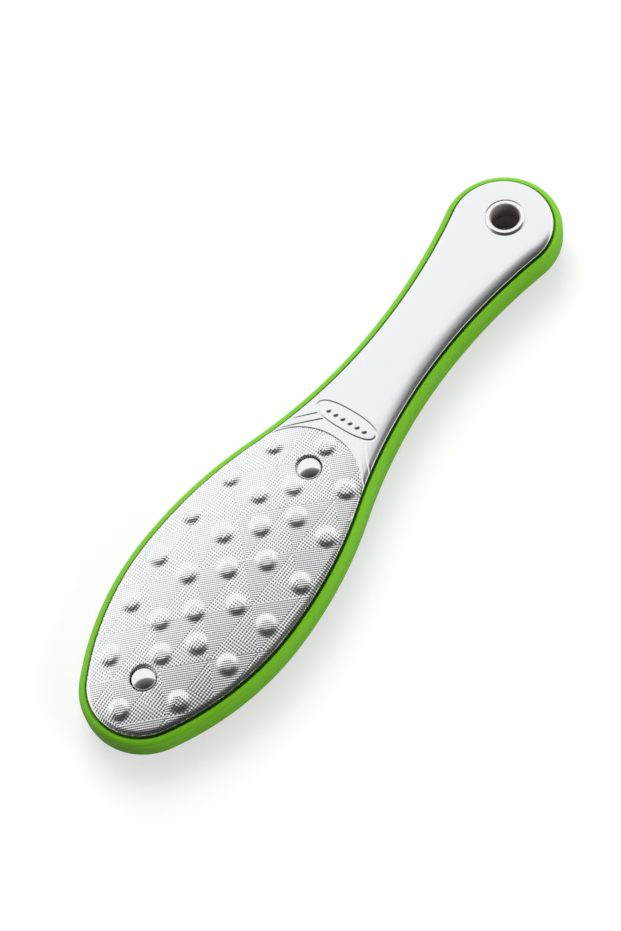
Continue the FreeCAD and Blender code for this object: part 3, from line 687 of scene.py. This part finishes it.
sleeve_end = EYELET_END_GAP - eyelet_level
eyelet = np.concatenate([
    [[EYELET_BORE, sleeve_end], [EYELET_BORE + EYELET_WALL, sleeve_end], [EYELET_BORE + EYELET_WALL, 0]],
    corner((EYELET_FLANGE - FLANGE_ROUND, EYELET_PROUD - FLANGE_ROUND), FLANGE_ROUND, 0, 90, 12),
    corner((EYELET_BORE + BORE_ROUND, EYELET_PROUD - BORE_ROUND), BORE_ROUND, 90, 180, 12),
    [[EYELET_BORE, sleeve_end]],
])
for node, flipped in (("front_eyelet", False), ("rear_eyelet", True)):
    eyelet_piece = turned_piece(eyelet, EYELET_AT, -eyelet_level if flipped else eyelet_level, flipped)
    add_piece(node + "_flange", *eyelet_piece, eyelet_nickel, "plated_fittings", node)

# Floor, light and camera
# A white floor that the file lies on, a white studio whose room is dark behind the camera, two soft
# lamps, low on the right and higher behind, and the camera of the photograph.

CAMERA_AZIMUTH = 47.82
CAMERA_ELEVATION = 62.49
CAMERA_ROLL = -13.2
CAMERA_DISTANCE = 985.5
FOCAL_PIXELS = 2777.7
CENTRE_PIXEL = (330.9, 459.4)
IMAGE_WIDTH, IMAGE_HEIGHT = 621, 931
AIM_UNDER_MIDDLE = 4.2
DARK_ELEVATION = 25.0
LAMP_DISTANCE = 2.6
LAMP_SIZE = 0.75 * LAMP_DISTANCE
FLOOR_REACH = 3.0
FLOOR_GLOW = 0.57
SHADED_REACH = 40.0
UNDER_HOLE = 12.0


def facing(elevation, aside=0.0):
    """A direction towards the camera's side of the room, at an elevation and so far aside, in degrees."""
    turn, rise = math.radians(CAMERA_AZIMUTH + aside), math.radians(elevation)
    return np.array([math.sin(turn) * math.cos(rise), -math.cos(turn) * math.cos(rise), math.sin(rise)])


def set_looking(thing, backward, right, where):
    """Place a camera or a lamp whose back, right-hand side and place are known."""
    turn = np.eye(4)
    turn[:3, 0], turn[:3, 1], turn[:3, 2], turn[:3, 3] = right, np.cross(backward, right), backward, where
    thing.matrix_world = Matrix(turn.tolist())
    bpy.context.scene.collection.objects.link(thing)


floor_mesh = bpy.data.meshes.new("floor")
floor_corners = [(x * FLOOR_REACH, y * FLOOR_REACH, 0) for x, y in ((-1, -1), (1, -1), (1, 1), (-1, 1))]
floor_mesh.from_pydata(floor_corners, [], [(0, 1, 2, 3)])

# Matt pale card that the eye and far mirrors see as white. A mirror close above it sees its shade, and
# so does the eye through the hanging hole.
white_floor, tree, surface = new_material("white_studio_floor")
matt = add(tree, "BsdfDiffuse", {"Color": linear("#B4B4B4")})
rays = tree.nodes.new("ShaderNodeLightPath").outputs
far_off = add(tree, "Math", (rays["Ray Length"], SHADED_REACH * MM), operation="GREATER_THAN")
mirrored = add(tree, "Math", (rays["Is Glossy Ray"], far_off), operation="MULTIPLY")
seen = add(tree, "Math", (rays["Is Camera Ray"], mirrored), operation="MAXIMUM")
place = add(tree, "TexCoord", output="Object")
from_hole = add(tree, "VectorMath", (place, hole_place), "Value", operation="DISTANCE")
open_floor = add(tree, "Math", (from_hole, UNDER_HOLE * MM), operation="GREATER_THAN")
strength = add(tree, "Math", (open_floor, FLOOR_GLOW), operation="MULTIPLY")
glow = add(tree, "Math", (seen, strength), operation="MULTIPLY")
tree.links.new(add(tree, "AddShader", (matt, add(tree, "Emission", {"Strength": glow}))), surface)
floor_mesh.materials.append(white_floor)
floor = bpy.data.objects.new("floor", floor_mesh)
bpy.context.scene.collection.objects.link(floor)

azimuth = math.radians(CAMERA_AZIMUTH)
level_right = np.array([math.cos(azimuth), math.sin(azimuth), 0])
camera_data = bpy.data.cameras.new("photo_camera")
camera_data.sensor_width = 36.0
camera_data.lens = camera_data.sensor_width * FOCAL_PIXELS / IMAGE_HEIGHT
camera_data.shift_x = (IMAGE_WIDTH / 2 - CENTRE_PIXEL[0]) / IMAGE_HEIGHT
camera_data.shift_y = (CENTRE_PIXEL[1] - IMAGE_HEIGHT / 2) / IMAGE_HEIGHT
camera = bpy.data.objects.new("photo_camera", camera_data)
backward = facing(CAMERA_ELEVATION)
roll = math.radians(CAMERA_ROLL)
rolled_right = math.cos(roll) * level_right + math.sin(roll) * np.cross(backward, level_right)
aim = np.array([0, 0, MID_HEIGHT - AIM_UNDER_MIDDLE])
set_looking(camera, backward, rolled_right, (aim + CAMERA_DISTANCE * backward) * MM)
bpy.context.scene.camera = camera

# The room: white all round, and darker the closer a direction is to the dark side's middle.
world = bpy.data.worlds.new("white_studio")
bpy.context.scene.world = world
world.use_nodes = True
tree = world.node_tree
tree.nodes.clear()
direction = add(tree, "TexCoord", output="Generated")
dark_side = facing(DARK_ELEVATION)
towards_dark = add(tree, "VectorMath", (direction, dark_side), "Value", operation="DOT_PRODUCT")
ramp = tree.nodes.new("ShaderNodeValToRGB")
tree.links.new(towards_dark, ramp.inputs["Fac"])
stops = ramp.color_ramp.elements
for position, level in ((0.105, 1.0), (0.2, 0.38), (0.3, 0.2), (0.45, 0.14), (0.75, 0.06)):
    stops.new(position).color = (level, level, level, 1.0)
stops[0].color = (1.0, 1.0, 1.0, 1.0)
stops[-1].color = (0.03, 0.03, 0.03, 1.0)
rays = tree.nodes.new("ShaderNodeLightPath").outputs
studio = add(tree, "Background", {"Color": ramp.outputs["Color"]})
blank = add(tree, "Background", {"Color": linear("#FFFFFF")})
shown = add(tree, "MixShader", (rays["Is Camera Ray"], studio, blank))
tree.links.new(shown, tree.nodes.new("ShaderNodeOutputWorld").inputs["Surface"])

for name, elevation, aside, energy in (("soft_front_lamp", 20.0, 55.0, 38.0),
                                       ("soft_back_lamp", 140.0, 0.0, 55.0)):
    lamp_data = bpy.data.lights.new(name, "AREA")
    lamp_data.size = LAMP_SIZE
    lamp_data.energy = energy
    lamp = bpy.data.objects.new(name, lamp_data)
    away = facing(elevation, aside)
    lamp_right = np.cross([0, 0, 1], away)
    set_looking(lamp, away, lamp_right / np.linalg.norm(lamp_right), LAMP_DISTANCE * away)
    lamp.visible_glossy = False
    lamp.visible_camera = False

bpy.context.scene.view_settings.view_transform = "Standard"
